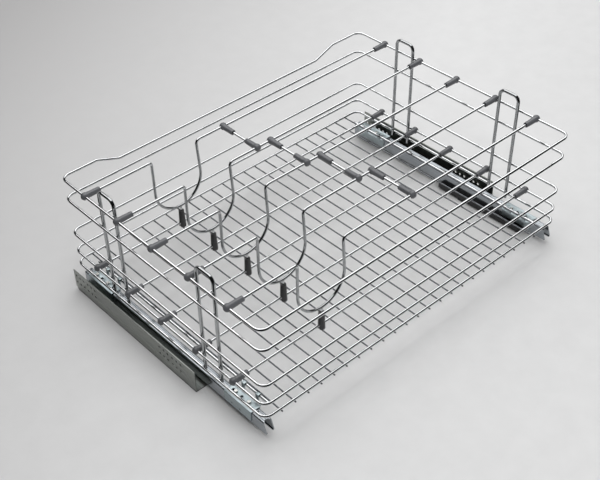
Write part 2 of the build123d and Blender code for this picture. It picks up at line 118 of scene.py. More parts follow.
def closedMesh(name, points, faces, sameWithin=1e-7):
    # Points that coincide become one, which closes seams and poles, and the faces are turned outwards
    mesh = bpy.data.meshes.new(name)
    mesh.from_pydata(np.asarray(points).tolist(), [], [list(map(int, f)) for f in faces])
    shape = bmesh.new()
    shape.from_mesh(mesh)
    bmesh.ops.remove_doubles(shape, verts=shape.verts, dist=sameWithin)
    bmesh.ops.recalc_face_normals(shape, faces=shape.faces)
    shape.to_mesh(mesh)
    shape.free()
    return mesh


def addRider(name, mesh, body, material, replaced=(), sharp=40):
    # A mesh in one material that rides on its body, smooth but for edges above so many degrees
    mesh.polygons.foreach_set("use_smooth", np.ones(len(mesh.polygons), bool))
    mesh.set_sharp_from_angle(angle=math.radians(sharp))
    mesh.materials.clear()
    mesh.materials.append(material)
    piece = addObject(name, mesh)
    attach(piece, body)
    if replaced:
        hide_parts(*replaced)
    return piece


def addPiece(name, points, faces, body, material, slotName, replaced=(), sharp=40):
    return addRider(name, closedMesh(name, points, faces), body, material, replaced, sharp)


def bentPath(corners, radii, closed=False, steps=9):
    # Each corner becomes an arc: it starts radius * tan(turn / 2) before the corner, and its points are
    # centre + start * cos(a) + arriving direction * radius * sin(a), with a from 0 to the turn
    corners = np.asarray(corners, float)
    points = [] if closed else [corners[:1]]
    count = len(corners)
    for i in range(0 if closed else 1, count if closed else count - 1):
        here = corners[i]
        arrive = here - corners[i - 1]
        leave = corners[(i + 1) % count] - here
        arrive /= np.linalg.norm(arrive)
        leave /= np.linalg.norm(leave)
        turn = math.acos(np.clip(arrive @ leave, -1, 1))
        inward = (leave - arrive) / np.linalg.norm(leave - arrive)
        centre = here + inward * radii[i] / math.cos(turn / 2)
        start = here - arrive * radii[i] * math.tan(turn / 2) - centre
        a = np.linspace(0, turn, max(3, round(steps * turn / (math.pi / 2)) + 1))[:, None]
        points.append(centre + start * np.cos(a) + arrive * radii[i] * np.sin(a))
    if not closed:
        points.append(corners[-1:])
    return np.vstack(points)


def withSupports(path, closed, gap=0.001, longest=0.005):
    # Each straight run above the longest plain one gets a point one gap in from both of its ends, so that
    # the bends and the ends shade only themselves
    following = np.roll(path, -1, 0) if closed else path[1:]
    starts = path if closed else path[:-1]
    run = following - starts
    length = np.linalg.norm(run, axis=1, keepdims=True)
    step = run * np.minimum(gap / length, 0.5)
    isLong = (length > longest).ravel()
    keep = np.stack((np.ones_like(isLong), isLong, isLong), 1)
    points = np.stack((starts, starts + step, following - step), 1)[keep]
    return points if closed else np.vstack((points, path[-1:]))


domeAngles = (30, 60, 82)  # degrees, the rings of a wire's end


def wireShape(path, diameter, upward, closed=False, sides=18, dome=0.45):
    # A circle carried along a path: point = centre + radius * (cos a * across + sin a * over),
    # across being the path's direction crossed with the upward direction. Open ends close in a low dome,
    # where the centre runs on by dome * radius * sin b and the radius shrinks by cos b
    path = withSupports(np.asarray(path, float), closed)
    if closed:
        along = np.roll(path, -1, 0) - np.roll(path, 1, 0)
    else:
        along = np.gradient(path, axis=0)
    along /= np.linalg.norm(along, axis=1, keepdims=True)
    radius = np.full(len(path), diameter / 2)
    if not closed:
        b = np.radians(domeAngles)[:, None]
        reach = dome * diameter / 2 * np.sin(b)
        shrink = diameter / 2 * np.cos(b).ravel()
        path = np.vstack(((path[0] - along[0] * reach)[::-1], path, path[-1] + along[-1] * reach))
        radius = np.concatenate((shrink[::-1], radius, shrink))
        count = len(domeAngles)
        along = np.vstack((np.repeat(along[:1], count, 0), along, np.repeat(along[-1:], count, 0)))
    across = np.cross(along, upward)
    across /= np.linalg.norm(across, axis=1, keepdims=True)
    over = np.cross(across, along)
    a = np.linspace(0, 2 * math.pi, sides, endpoint=False)[None, :, None]
    ring = np.cos(a) * across[:, None] + np.sin(a) * over[:, None]
    points = (path[:, None] + radius[:, None, None] * ring).reshape(-1, 3)
    faces = gridFaces(len(path), sides, closeRows=closed).tolist()
    if not closed:
        last = (len(path) - 1) * sides
        faces += [list(range(sides)), list(range(last, last + sides))]
    return points, faces


def turnedShape(profile, sides=28):
    # A profile of (height, radius) turned round Z: point = (r cos a, r sin a, height)
    profile = np.asarray(profile, float)
    a = np.linspace(0, 2 * math.pi, sides, endpoint=False)[None]
    r, h = profile[:, 1:2], profile[:, 0:1]
    points = np.stack((r * np.cos(a), r * np.sin(a), h + 0 * a), -1).reshape(-1, 3)
    return points, gridFaces(len(profile), sides).tolist()


def placed(place, toward=(0, 0, 1), side=(1, 0, 0)):
    # A turn that sends Z towards one direction and X as near as it can to the other
    z = Vector(toward).normalized()
    y = z.cross(Vector(side)).normalized()
    return np.array(Matrix.Translation(place) @ Matrix((y.cross(z), y, z)).transposed().to_4x4())


def blockShape(low, high):
    # A block between two corners, to cut with
    points = [(x, y, z) for x in (low[0], high[0]) for y in (low[1], high[1]) for z in (low[2], high[2])]
    return points, [(0, 1, 3, 2), (4, 6, 7, 5), (0, 4, 5, 1), (2, 3, 7, 6), (0, 2, 6, 4), (1, 5, 7, 3)]


def cutBy(points, faces, cutters):
    # The shape less each cutter, as points and faces again
    whole = addObject("cutBody", closedMesh("cutBody", points, faces))
    tools = [addObject("cutter", closedMesh("cutter", *cutter)) for cutter in cutters]
    for tool in tools:
        cut = whole.modifiers.new("cut", "BOOLEAN")
        cut.operation = "DIFFERENCE"
        cut.solver = "EXACT"
        cut.object = tool
    result = whole.evaluated_get(bpy.context.evaluated_depsgraph_get()).to_mesh()
    newPoints = np.empty(len(result.vertices) * 3)
    result.vertices.foreach_get("co", newPoints)
    newFaces = [list(face.vertices) for face in result.polygons]
    for item in [whole] + tools:
        bpy.data.meshes.remove(item.data)
    return newPoints.reshape(-1, 3), newFaces


# Materials

finish = {
    "detail": 3.0, "noiseRoughness": 0.55,  # of the noise
    "toneEnds": (0.32, 0.68), "polishEnds": (0.3, 0.7),  # noise levels where colour and roughness level off
    "paintedShadeEnds": (0.45, 0.92), "paintedShadeTone": 0.04, "paintedShadeSamples": 8,  # openness where painted shade is full and where it ends, its darkest tone, its samples
}


def surface(
    name, dark, light, roughness, metallic=0.0, grain=1.0, stretch=(1, 1, 1), bump=0.1, depth=0.05, paintedShadeWidth=0.0
):
    # Noise in object space, its cells about grain millimetres wide, moves the colour between two tones
    # and the roughness between two values, and lifts the surface by depth millimetres.
    # The painted shade width is in millimetres: narrow holes and corners that wide are darkened with painted
    # shade
    material = bpy.data.materials.new(name)
    material.use_nodes = True
    tree = material.node_tree
    shader = tree.nodes["Principled BSDF"]
    where = addNode(tree, "ShaderNodeTexCoord", (-1100, 0))
    drawn = addNode(
        tree, "ShaderNodeMapping", (-920, 0), {"Vector": where.outputs["Object"], "Scale": stretch},
    )
    noise = addNode(tree, "ShaderNodeTexNoise", (-740, 0), {
        "Vector": drawn.outputs["Vector"], "Scale": 1000 / grain,
        "Detail": finish["detail"], "Roughness": finish["noiseRoughness"],
    })
    tones = addNode(tree, "ShaderNodeValToRGB", (-520, 220), {"Fac": noise.outputs["Fac"]})
    for end, place, colour in zip(tones.color_ramp.elements, finish["toneEnds"], (dark, light)):
        end.position = place
        end.color = hexColour(colour)
    polish = addNode(tree, "ShaderNodeMapRange", (-520, -40), {
        "Value": noise.outputs["Fac"],
        "From Min": finish["polishEnds"][0], "From Max": finish["polishEnds"][1],
        "To Min": roughness[0], "To Max": roughness[1],
    })
    lift = addNode(
        tree, "ShaderNodeBump", (-300, -260),
        {"Height": noise.outputs["Fac"], "Strength": bump, "Distance": depth / 1000},
    )
    tree.links.new(tones.outputs["Color"], shader.inputs["Base Color"])
    # Painted shade: ambient occlusion darkens holes and corners in the base colour
    if paintedShadeWidth:
        openness = addNode(
            tree, "ShaderNodeAmbientOcclusion", (-520, 480), {"Distance": paintedShadeWidth / 1000},
            samples=finish["paintedShadeSamples"],
        )
        unshadedShare = addNode(tree, "ShaderNodeMapRange", (-340, 480), {
            "Value": openness.outputs["AO"],
            "From Min": finish["paintedShadeEnds"][0], "From Max": finish["paintedShadeEnds"][1],
            "To Min": finish["paintedShadeTone"], "To Max": 1.0,
        })
        darkened = addNode(
            tree, "ShaderNodeMix", (-160, 320),
            {0: 1.0, 6: tones.outputs["Color"], 7: unshadedShare.outputs["Result"]},
            data_type="RGBA", blend_type="MULTIPLY",
        )
        tree.links.new(darkened.outputs[2], shader.inputs["Base Color"])
    tree.links.new(polish.outputs["Result"], shader.inputs["Roughness"])
    tree.links.new(lift.outputs["Normal"], shader.inputs["Normal"])
    shader.inputs["Metallic"].default_value = metallic
    return material


# Drawn steel wire under bright nickel-chrome: a mirror with a trace of drawing marks
brightChrome = surface("brightChromePlate", "#D2D4D5", "#DBDCDD", (0.04, 0.08), 1.0, 6, bump=0.01)
# The same plating on the thin floor wires, with painted shade: a darker tone so they stand dark against the
# paper
shadedThinChrome = surface("chromeThinWirePaintedShade", "#64666A", "#74767A", (0.06, 0.12), 1.0, 6, bump=0.01)
# The same plating on upright wires and the divider dips, with painted shade: a tone darker than the level
# ones, standing in for their mirroring only the paper
shadedUprightChrome = surface("chromeUprightPaintedShade", "#A3A5A6", "#ADAFB0", (0.05, 0.10), 1.0, 6, bump=0.01)
# Plating over a spot weld: greyer and rougher than the wire
weldChrome = surface("chromeOverWeld", "#3A3938", "#7C7C7C", (0.18, 0.4), 1.0, 0.8, bump=0.3)
# Cabinet rail sheet under clear zinc: satin grey, with faint rolling grain along the rail and painted shade
# in its holes and corners
satinZinc = surface(
    "rolledZincPlate", "#868985", "#979A95", (0.30, 0.38), 1.0, 2.5, (1, 0.05, 1), bump=0.004, paintedShadeWidth=5.5,
)
# Drawn drawer rail under bright zinc: nearly a mirror, streaked along its length
drawnZinc = surface("drawnZincPlate", "#94999D", "#A6AAAE", (0.12, 0.20), 1.0, 2, (1, 0.02, 1), bump=0.01)
# Pressed bracket steel under blue passivated zinc: smooth and cooler
blueZinc = surface("bluePassivatedZinc", "#A0ABAE", "#AEB8BB", (0.34, 0.40), 1.0, 5, (1, 0.3, 1), bump=0.01)
# Cold-headed screws, pins and rollers under bright zinc
brightZinc = surface("brightZincPlate", "#CDCDC9", "#E2E2DE", (0.16, 0.24), 1.0, 1.5, bump=0.02)
# Moulded polyamide sleeves, spark-eroded grain about 0.3 mm
greySleeve = surface("greyPolyamide", "#57585B", "#626366", (0.12, 0.18), 0.0, 0.6, bump=0.05)
# The same polyamide in near black on the posts
darkSleeve = surface("darkPolyamide", "#2C2C2D", "#363637", (0.16, 0.24), 0.0, 0.6, bump=0.08)
# Glass-filled black polyamide of the soft-close units
blackHousing = surface("blackFilledPolyamide", "#08090A", "#121314", (0.34, 0.5), 0.0, 0.8, bump=0.12)
# Natural acetal of the roller cages, milky
milkyAcetal = surface("naturalAcetal", "#CBC8BC", "#DAD7CC", (0.34, 0.44), 0.0, 3, bump=0.05)
# Turned aluminium damper tubes
turnedAluminium = surface(
    "turnedAluminium", "#A6A8AB", "#C8CACC", (0.22, 0.34), 1.0, 0.8, (1, 8, 1), bump=0.05,
)
print("materials done")


# Rings: one closed wire each, the top one lowered along the middle of its back

ring = {"wire": 0.0045, "corner": 0.014, "lowHalf": 0.212, "highHalf": 0.252, "backBend": 0.010}
plainRings = ("bottom_ring", "lower_ring", "middle_ring", "upper_ring")


def ringSize(name):
    low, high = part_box(name)
    r = ring["wire"] / 2
    return high.x - r, high.y - r, high.z - r, low.z + r


def ringCorners(x, y, z):
    return [(-x, -y, z), (x, -y, z), (x, y, z), (-x, y, z)]


for name in plainRings:
    x, y, z = ringSize(name)[:3]
    path = bentPath(ringCorners(x, y, z), [ring["corner"]] * 4, closed=True)
    shape = wireShape(path, ring["wire"], (0, 0, 1), closed=True)
    addPiece(name.replace("_r", "R") + "Wire", *shape, "drawer", brightChrome, "chrome_wire", [name])

ringX, ringY, topZ, backLowZ = ringSize("top_ring")
lowerZ = ringSize("lower_ring")[2]
corners = ringCorners(ringX, ringY, topZ)
back = [
    (ring["highHalf"], ringY, topZ),
    (ring["lowHalf"], ringY, backLowZ),
    (-ring["lowHalf"], ringY, backLowZ),
    (-ring["highHalf"], ringY, topZ),
]
radii = [ring["corner"]] * 3 + [ring["backBend"]] * 4 + [ring["corner"]]
path = bentPath(corners[:3] + back + corners[3:], radii, closed=True)
addPiece(
    "topRingWire", *wireShape(path, ring["wire"], (0, 0, 1), closed=True),
    "drawer", brightChrome, "chrome_wire", ["top_ring"],
)
print("rings done")


# Floor: thin wires front to back under the bottom ring, and a thicker rod on each side

floor = {"wire": 0.0025, "count": 24, "rod": 0.0045, "endDome": 0.3}
low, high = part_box("floor_wires")
floorZ = (low.z + high.z) / 2
floorX = np.linspace(low.x + floor["wire"] / 2, high.x - floor["wire"] / 2, floor["count"])
endReach = floor["endDome"] * floor["wire"] / 2
line = [(0, low.y + endReach, floorZ), (0, high.y - endReach, floorZ)]
points, faces = wireShape(line, floor["wire"], (0, 0, 1), sides=12, dome=floor["endDome"])
turns = [placed((x, 0, 0)) for x in floorX]
addPiece(
    "floorWireRow", *copiesOf(points, faces, turns),
    "drawer", shadedThinChrome, "chrome_wire", ["floor_wires"],
)

rodPlaces = {}
for side in ("left", "right"):
    low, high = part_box(f"{side}_side_rod")
    rodX, rodZ = (low.x + high.x) / 2, (low.z + high.z) / 2
    rodPlaces[side] = (rodX, rodZ)
    shape = wireShape([(rodX, low.y, rodZ), (rodX, high.y, rodZ)], floor["rod"], (0, 0, 1))
    addPiece(f"{side}SideRodWire", *shape, "drawer", brightChrome, "chrome_wire", [f"{side}_side_rod"])
print("floor done")


# Upright loops inside the short sides

loop = {"wire": 0.0055, "bend": 0.010}
loopLegs = []
for side in ("left", "right"):
    for end in ("front", "rear"):
        low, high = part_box(f"{side}_{end}_loop")
        r = loop["wire"] / 2
        x = (low.x + high.x) / 2
        y0, y1, head = low.y + r, high.y - r, high.z - r
        loopLegs += [(x, y0), (x, y1)]
        path = bentPath([(x, y0, low.z), (x, y0, head), (x, y1, head), (x, y1, low.z)], [loop["bend"]] * 4)
        shape = wireShape(path, loop["wire"], (1, 0, 0))
        name = f"{side}{end.title()}LoopWire"
        addPiece(name, *shape, "drawer", shadedUprightChrome, "chrome_wire", [f"{side}_{end}_loop"])
print("loops done")


# Dividers: a dip near the left end, its right leg leaning outwards, and a straight wire below each

divider = {
    "wire": 0.0045, "legX": -0.1949, "leftBend": 0.005, "rightBend": 0.0075, "bendPoints": 9,
    "dipRadius": 0.0454, "dipDrop": 0.0614, "dipPoints": 40,  # the drop from the top wire to the dip's centre
    "lean": 3.5,  # degrees that the right leg leans outwards
}
rowY = []
dipX = divider["legX"] + divider["dipRadius"]
dipZ = topZ - divider["dipDrop"]


def dividerPath(endX):
    # Left end, top bend, dip circle from 180 degrees down and round to the leaning leg, top bend, right end
    lean = math.radians(divider["lean"])
    bend, radius = divider["leftBend"], divider["dipRadius"]
    quarter = np.linspace(0, math.pi / 2, divider["bendPoints"])
    left = np.stack((
        divider["legX"] - bend + bend * np.sin(quarter), 0 * quarter, topZ - bend + bend * np.cos(quarter)
    ), -1)
    swing = np.linspace(math.pi, 2 * math.pi + lean, divider["dipPoints"])
    dip = np.stack((dipX + radius * np.cos(swing), 0 * swing, dipZ + radius * np.sin(swing)), -1)
    leg = np.array((-math.sin(lean), 0, math.cos(lean)))
    away = np.array((math.cos(lean), 0, math.sin(lean)))
    wide = divider["rightBend"]
    legTop = topZ - wide * (1 + math.sin(lean))
    start = dip[-1] + leg * ((legTop - dip[-1][2]) / leg[2])
    centre = start + away * wide
    turn = np.linspace(0, math.pi / 2 + lean, divider["bendPoints"])[:, None]
    right = centre - away * wide * np.cos(turn) + leg * wide * np.sin(turn)
    return np.vstack(([(-endX, 0, topZ)], left, dip, right, [(endX, 0, topZ)]))


def useBelow(piece, material, height):
    # Faces whose middle lies under a height take the second material
    mesh = piece.data
    mesh.materials.append(material)
    middles = np.empty(3 * len(mesh.polygons))
    mesh.polygons.foreach_get("center", middles)
    mesh.polygons.foreach_set("material_index", (middles[2::3] < height).astype(np.int32))


low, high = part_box("divider_wire_1")
dividerShape = wireShape(dividerPath(high.x), divider["wire"], (0, 1, 0), sides=16)
for i in range(1, 6):
    low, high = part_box(f"lower_wire_{i}")
    y = (low.y + high.y) / 2
    rowY.append(y)
    moved = copiesOf(*dividerShape, [placed((0, y, 0))])
    piece = addPiece(f"dividerWire{i}", *moved, "drawer", brightChrome, "chrome_wire", [f"divider_wire_{i}"])
    # The dip below the top wire takes the darker chrome, painted shade
    useBelow(piece, shadedUprightChrome, topZ - divider["wire"])
    shape = wireShape([(low.x, y, lowerZ), (high.x, y, lowerZ)], divider["wire"], (0, 0, 1), sides=16)
    addPiece(f"lowerWire{i}", *shape, "drawer", brightChrome, "chrome_wire", [f"lower_wire_{i}"])
print("dividers done")


# Links: short wires that join neighbouring dividers

link = {"wire": 0.0045, "firstX": -0.0517, "step": 0.0281, "endGap": 0.0036}
linkTurns, linkHeads = [], []
for i in range(4):
    x = link["firstX"] + i * link["step"]
    front, rear = rowY[3 - i], rowY[4 - i]
    linkTurns.append(placed((x, (front + rear) / 2, topZ)))
    linkHeads += [((x, rear, topZ), (0, -1, 0)), ((x, front, topZ), (0, 1, 0))]
half = (rowY[1] - rowY[0]) / 2 - link["endGap"]
points, faces = wireShape([(0, -half, 0), (0, half, 0)], link["wire"], (0, 0, 1), sides=16)
addPiece(
    "linkWires", *copiesOf(points, faces, linkTurns),
    "drawer", brightChrome, "chrome_wire", ["link_wires"],
)


# Sleeves: a ball that clips on the cross wire and a tapered tail for the wire that ends in it

sleeve = {
    "head": 0.0062, "neck": 0.0051, "tail": 0.0044, "length": 0.0265, "linkLength": 0.0260, "sides": 24,
    "blend": 0.0011, "sharpness": 3, "steepest": 30, "blendRise": 0.0002,  # how the ball runs into the tail
    "blendSpan": (0.0004, 0.0075), "tailPlaces": (0.012, 0.018),  # places along the tail that get points
    "ballPoints": 12, "blendPoints": 14, "edgePoints": 5,
    "edge": 0.0009, "edgeStart": 0.2,  # the tail's rounded end and the angle of its first point, radians
    "bore": 0.00245, "mouth": 0.0032, "mouthDepth": 0.0012, "boreEnd": 0.0033,
    "cross": 0.00235, "slot": 0.0038, "cutReach": 0.008,
}


def sleeveShape(length):
    # Radius along the tail t: the ball's sqrt(head^2 - t^2), which runs into the tail's straight taper as
    # taper + blend * log(1 + exp(sharpness * (ball - taper) / blend)) / sharpness, at most blendRise above
    # the larger of the two, then a rounded end, and back up the bore, which is wider at its mouth
    s = sleeve
    swing = np.linspace(0, math.pi / 2, s["ballPoints"])
    t = np.concatenate((
        -s["head"] * np.cos(swing), np.linspace(*s["blendSpan"], s["blendPoints"]),
        s["tailPlaces"], [length - s["edge"]],
    ))
    ball = np.sqrt(np.maximum(s["head"] ** 2 - t ** 2, 0))
    taper = s["neck"] + (s["tail"] - s["neck"]) * np.maximum(t, 0) / length
    gap = np.clip((ball - taper) / s["blend"] * s["sharpness"], -s["steepest"], s["steepest"])
    blended = taper + s["blend"] * np.log1p(np.exp(gap)) / s["sharpness"]
    radius = np.where(t <= 0, ball, np.minimum(blended, np.maximum(ball, taper) + s["blendRise"]))
    turn = np.linspace(s["edgeStart"], math.pi / 2, s["edgePoints"])
    rim = s["tail"] - s["edge"] + s["edge"] * np.cos(turn)
    rimT = length - s["edge"] + s["edge"] * np.sin(turn)
    inside = [
        (length, s["mouth"]), (length - s["mouthDepth"], s["bore"]),
        (s["boreEnd"], s["bore"]), (s["boreEnd"], 0),
    ]
    profile = np.vstack((np.stack((t, radius), -1), np.stack((rimT, rim), -1), inside))
    points, faces = turnedShape(profile, s["sides"])
    reach, slotHalf = s["cutReach"], s["slot"] / 2
    line = [(0, -reach, 0), (0, reach, 0)]
    crossBore = wireShape(line, 2 * s["cross"], (1, 0, 0), sides=s["sides"], dome=0)
    clip = blockShape((-reach, -reach, -slotHalf), (0, reach, slotHalf))
    return cutBy(points, faces, [crossBore, clip])


# The tail runs along Z and the clip opens towards -X in the template, so side = up turns the slot down
sideSleeve = sleeveShape(sleeve["length"])
linkSleeve = sleeveShape(sleeve["linkLength"])
for side, inward in (("left", 1), ("right", -1)):
    for level, z in (("upper", topZ), ("lower", lowerZ)):
        turns = [placed((-inward * ringX, y, z), (inward, 0, 0), (0, 0, 1)) for y in rowY]
        addPiece(
            f"{side}{level.title()}TSleeves", *copiesOf(*sideSleeve, turns),
            "drawer", greySleeve, "grey_plastic", [f"{side}_{level}_sleeves"],
        )
turns = [placed(place, toward, (0, 0, 1)) for place, toward in linkHeads]
addPiece(
    "linkTSleeves", *copiesOf(*linkSleeve, turns),
    "drawer", greySleeve, "grey_plastic", ["link_sleeves"],
)
print("sleeves done")


# Posts: a pin under each dip, standing in a tapered sleeve that clips on the wire below

post = {
    "foot": 0.00595, "footEdge": 0.0006, "top": 0.0047, "edge": 0.0009,
    "bore": 0.0022, "depth": 0.012, "mouthWiden": 0.0004, "mouthDepth": 0.0005,
    "cutReach": 0.009, "clipDepth": 0.02,
    "pin": 0.0040, "pinRise": 0.0006,  # the pin runs on into the dip wire
}


def postShape(low, high):
    # Up the tapered outside from the foot, over the rounded rim, and down the bore to its floor
    p = post
    turn = np.linspace(0, math.pi / 2, sleeve["edgePoints"])
    rim = np.stack((high - p["edge"] * (1 - np.sin(turn)), p["top"] - p["edge"] * (1 - np.cos(turn))), -1)
    foot = [(low, 0), (low, p["foot"] - p["footEdge"]), (low + p["footEdge"], p["foot"])]
    inside = [
        (high, p["bore"] + p["mouthWiden"]), (high - p["mouthDepth"], p["bore"]),
        (high - p["depth"], p["bore"]), (high - p["depth"], 0),
    ]
    points, faces = turnedShape(np.vstack((foot, rim, inside)), sleeve["sides"])
    reach, slotHalf = p["cutReach"], sleeve["slot"] / 2
    line = [(-reach, 0, lowerZ), (reach, 0, lowerZ)]
    crossBore = wireShape(line, 2 * sleeve["cross"], (0, 0, 1), sides=sleeve["sides"], dome=0)
    clip = blockShape((-reach, -slotHalf, lowerZ - p["clipDepth"]), (reach, slotHalf, lowerZ))
    return cutBy(points, faces, [crossBore, clip])


low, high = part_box("post_sleeves")
turns = [placed((dipX, y, 0)) for y in rowY]
addPiece(
    "postSleeves", *copiesOf(*postShape(low.z, high.z), turns),
    "drawer", darkSleeve, "grey_plastic", ["post_sleeves"],
)

low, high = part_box("post_pins")
line = [(dipX, 0, low.z), (dipX, 0, high.z + post["pinRise"])]
shape = wireShape(line, post["pin"], (0, 1, 0), sides=16)
turns = [placed((0, y, 0)) for y in rowY]
addPiece("postPinWires", *copiesOf(*shape, turns), "drawer", brightChrome, "chrome_wire", ["post_pins"])
print("posts done")


# Weld beads, a flattened lump where two wires touch

bead = {
    "rings": 6, "sides": 8, "lump": 0.14,  # lump is the share by which its points move in or out
    "onFloor": (0.0011, 0.0011, 0.0007), "onLoop": (0.0006, 0.0021, 0.0021),  # half sizes
    "onDip": (0.0021, 0.0021, 0.0008), "onRod": (0.0008, 0.0022, 0.0010),
    "rodInset": 0.0017, "rodY": (-0.2, -0.1, 0, 0.1, 0.2),
}


def beadShape(size, seed):
    # An ellipsoid: size * (sin b cos a, sin b sin a, cos b), each point but the two poles moved in or out
    rows = bead["rings"] + 1
    b = np.linspace(0, math.pi, rows)[:, None]
    a = np.linspace(0, 2 * math.pi, bead["sides"], endpoint=False)[None]
    unit = np.stack((np.sin(b) * np.cos(a), np.sin(b) * np.sin(a), np.cos(b) + 0 * a), -1)
    lumps = 1 + bead["lump"] * np.random.default_rng(seed).uniform(-1, 1, unit.shape[:2])
    lumps[[0, -1]] = 1
    return (unit * lumps[..., None] * np.array(size)).reshape(-1, 3), gridFaces(rows, bead["sides"]).tolist()


floorTop = floorZ + floor["wire"] / 2
beads = [(bead["onFloor"], [(x, end * ringY, floorTop) for x in floorX]) for end in (-1, 1)]
levels = [ringSize(name)[2] for name in (*plainRings, "top_ring")]
touchX = ringX - ring["wire"] / 2
beads.append((bead["onLoop"], [(math.copysign(touchX, x), y, z) for x, y in loopLegs for z in levels]))
dipFoot = dipZ - divider["dipRadius"] - divider["wire"] / 2
beads.append((bead["onDip"], [(dipX, y, dipFoot) for y in rowY]))
rodSides = [(math.copysign(abs(x) - bead["rodInset"], x), z) for x, z in rodPlaces.values()]
beads.append((bead["onRod"], [(x, y, z) for x, z in rodSides for y in bead["rodY"]]))
allPoints, allFaces = [], []
for seed, (size, places) in enumerate(beads):
    points, faces = copiesOf(*beadShape(size, seed), [placed(p) for p in places])
    start = sum(len(p) for p in allPoints)
    allPoints.append(points)
    allFaces += [[i + start for i in f] for f in faces]
addPiece("weldBeads", np.vstack(allPoints), allFaces, "drawer", weldChrome, "chrome_wire")
print("welds done")


# Sheet metal and housings: the CAD solid, merged, with its edges rounded as pressing and moulding leave them

softening = {
    "sameWithin": 2e-6, "flatWithin": 0.6, "roundAbove": 30, "steps": 2,  # metres, degrees, degrees
    "roundness": 0.5,  # 0.5 is a circle's arc
}


def softenedCopy(node, name, material, width):
    mesh = nodes[node].data.copy()
    mesh.name = name
    shape = bmesh.new()
    shape.from_mesh(mesh)
    flat, sharp = math.radians(softening["flatWithin"]), math.radians(softening["roundAbove"])
    bmesh.ops.remove_doubles(shape, verts=shape.verts, dist=softening["sameWithin"])
    bmesh.ops.dissolve_limit(shape, angle_limit=flat, verts=shape.verts, edges=shape.edges)
    edges = [e for e in shape.edges if e.is_manifold and e.calc_face_angle(0) > sharp]
    bmesh.ops.bevel(
        shape, geom=edges, offset=width, segments=softening["steps"], profile=softening["roundness"],
        affect="EDGES", clamp_overlap=True,
    )
    shape.to_mesh(mesh)
    shape.free()
    return addRider(name, mesh, nodes[node]["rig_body"], material, [node])


sheetEdges = {  # name of the copy, material, slot, width of the rounded edge
    "cabinet_rail": ("CabinetRail", satinZinc, "rail_sheet", 0.00025),
    "middle_rail": ("MiddleRail", satinZinc, "rail_sheet", 0.0002),
    "front_bracket": ("FrontBracket", blueZinc, "bracket_sheet", 0.0003),
    "rear_bracket": ("RearBracket", blueZinc, "bracket_sheet", 0.0003),
    "close_housing": ("CloseHousing", blackHousing, "black_plastic", 0.0007),
}
for side in ("left", "right"):
    for part, (name, material, slotName, width) in sheetEdges.items():
        softenedCopy(f"{side}_{part}", side + name, material, width)
softenedCopy("bracket_screws", "bracketScrews", brightZinc, 0.00012)
print("rails and brackets done")


# Drawer rail: a ribbed channel profile carried along Y, then cut for its ears, notch, holes and slots

channel = {
    "half": 0.0075, "wall": 0.0015, "lip": 0.0012, "round": 0.0025, "roundPoints": 7, "topPoints": 61,
    "stations": 9, "ribAt": (-0.0035, 0.0, 0.0035), "ribHalf": 0.0009, "ribDepth": 0.0004,
    "notchRadius": 0.0045, "notchDepth": 0.009, "earRun": 0.006, "earFoot": 0.003,
    "endHole": 0.0025, "holeGaps": (0.0265, 0.365),  # gaps are from the front end
    "slotHalves": (0.00125, 0.00725), "slotGaps": (0.2305, 0.314),
    "screwOffset": 0.0025, "plateHole": 0.00225,
    "plateGaps": ((0.0307, 0.0321, 0.0185), (0.3684, 0.0115, 0.0300)),  # to the plate, first and next hole
    "cutPast": 0.001, "earCutPast": 0.002, "earCutHalf": 0.01, "holeSides": 24,  # of the cutting shapes
}


def channelProfile(bottom, top):
    # Across and up: up one side, round a quarter circle, over the top, where each rib dips by
    # depth * (1 + cos(pi * offset / half)) / 2, down the other side and back along the inside
    c = channel
    half, wall, edge = c["half"], c["wall"], c["round"]
    turn = np.linspace(0, math.pi / 2, c["roundPoints"])
    across = np.linspace(-half + edge, half - edge, c["topPoints"])
    offsets = [np.clip((across - at) / c["ribHalf"], -1, 1) for at in c["ribAt"]]
    dip = sum(c["ribDepth"] * (1 + np.cos(math.pi * offset)) / 2 for offset in offsets)
    shoulder = np.stack((-half + edge - edge * np.cos(turn), top - edge + edge * np.sin(turn)), -1)
    inner = edge - wall
    inside = np.stack((
        half - wall - inner + inner * np.cos(turn), top - wall - inner + inner * np.sin(turn)
    ), -1)
    lip = half - wall - c["lip"]
    foot = np.array([(half, bottom), (lip, bottom), (lip, bottom + wall), (half - wall, bottom + wall)])
    other = np.array((-1, 1))
    return np.vstack((
        shoulder, np.stack((across, top - dip), -1)[1:-1], (shoulder * other)[::-1],
        foot, inside, (inside * other)[::-1], (foot * other)[::-1],
    ))


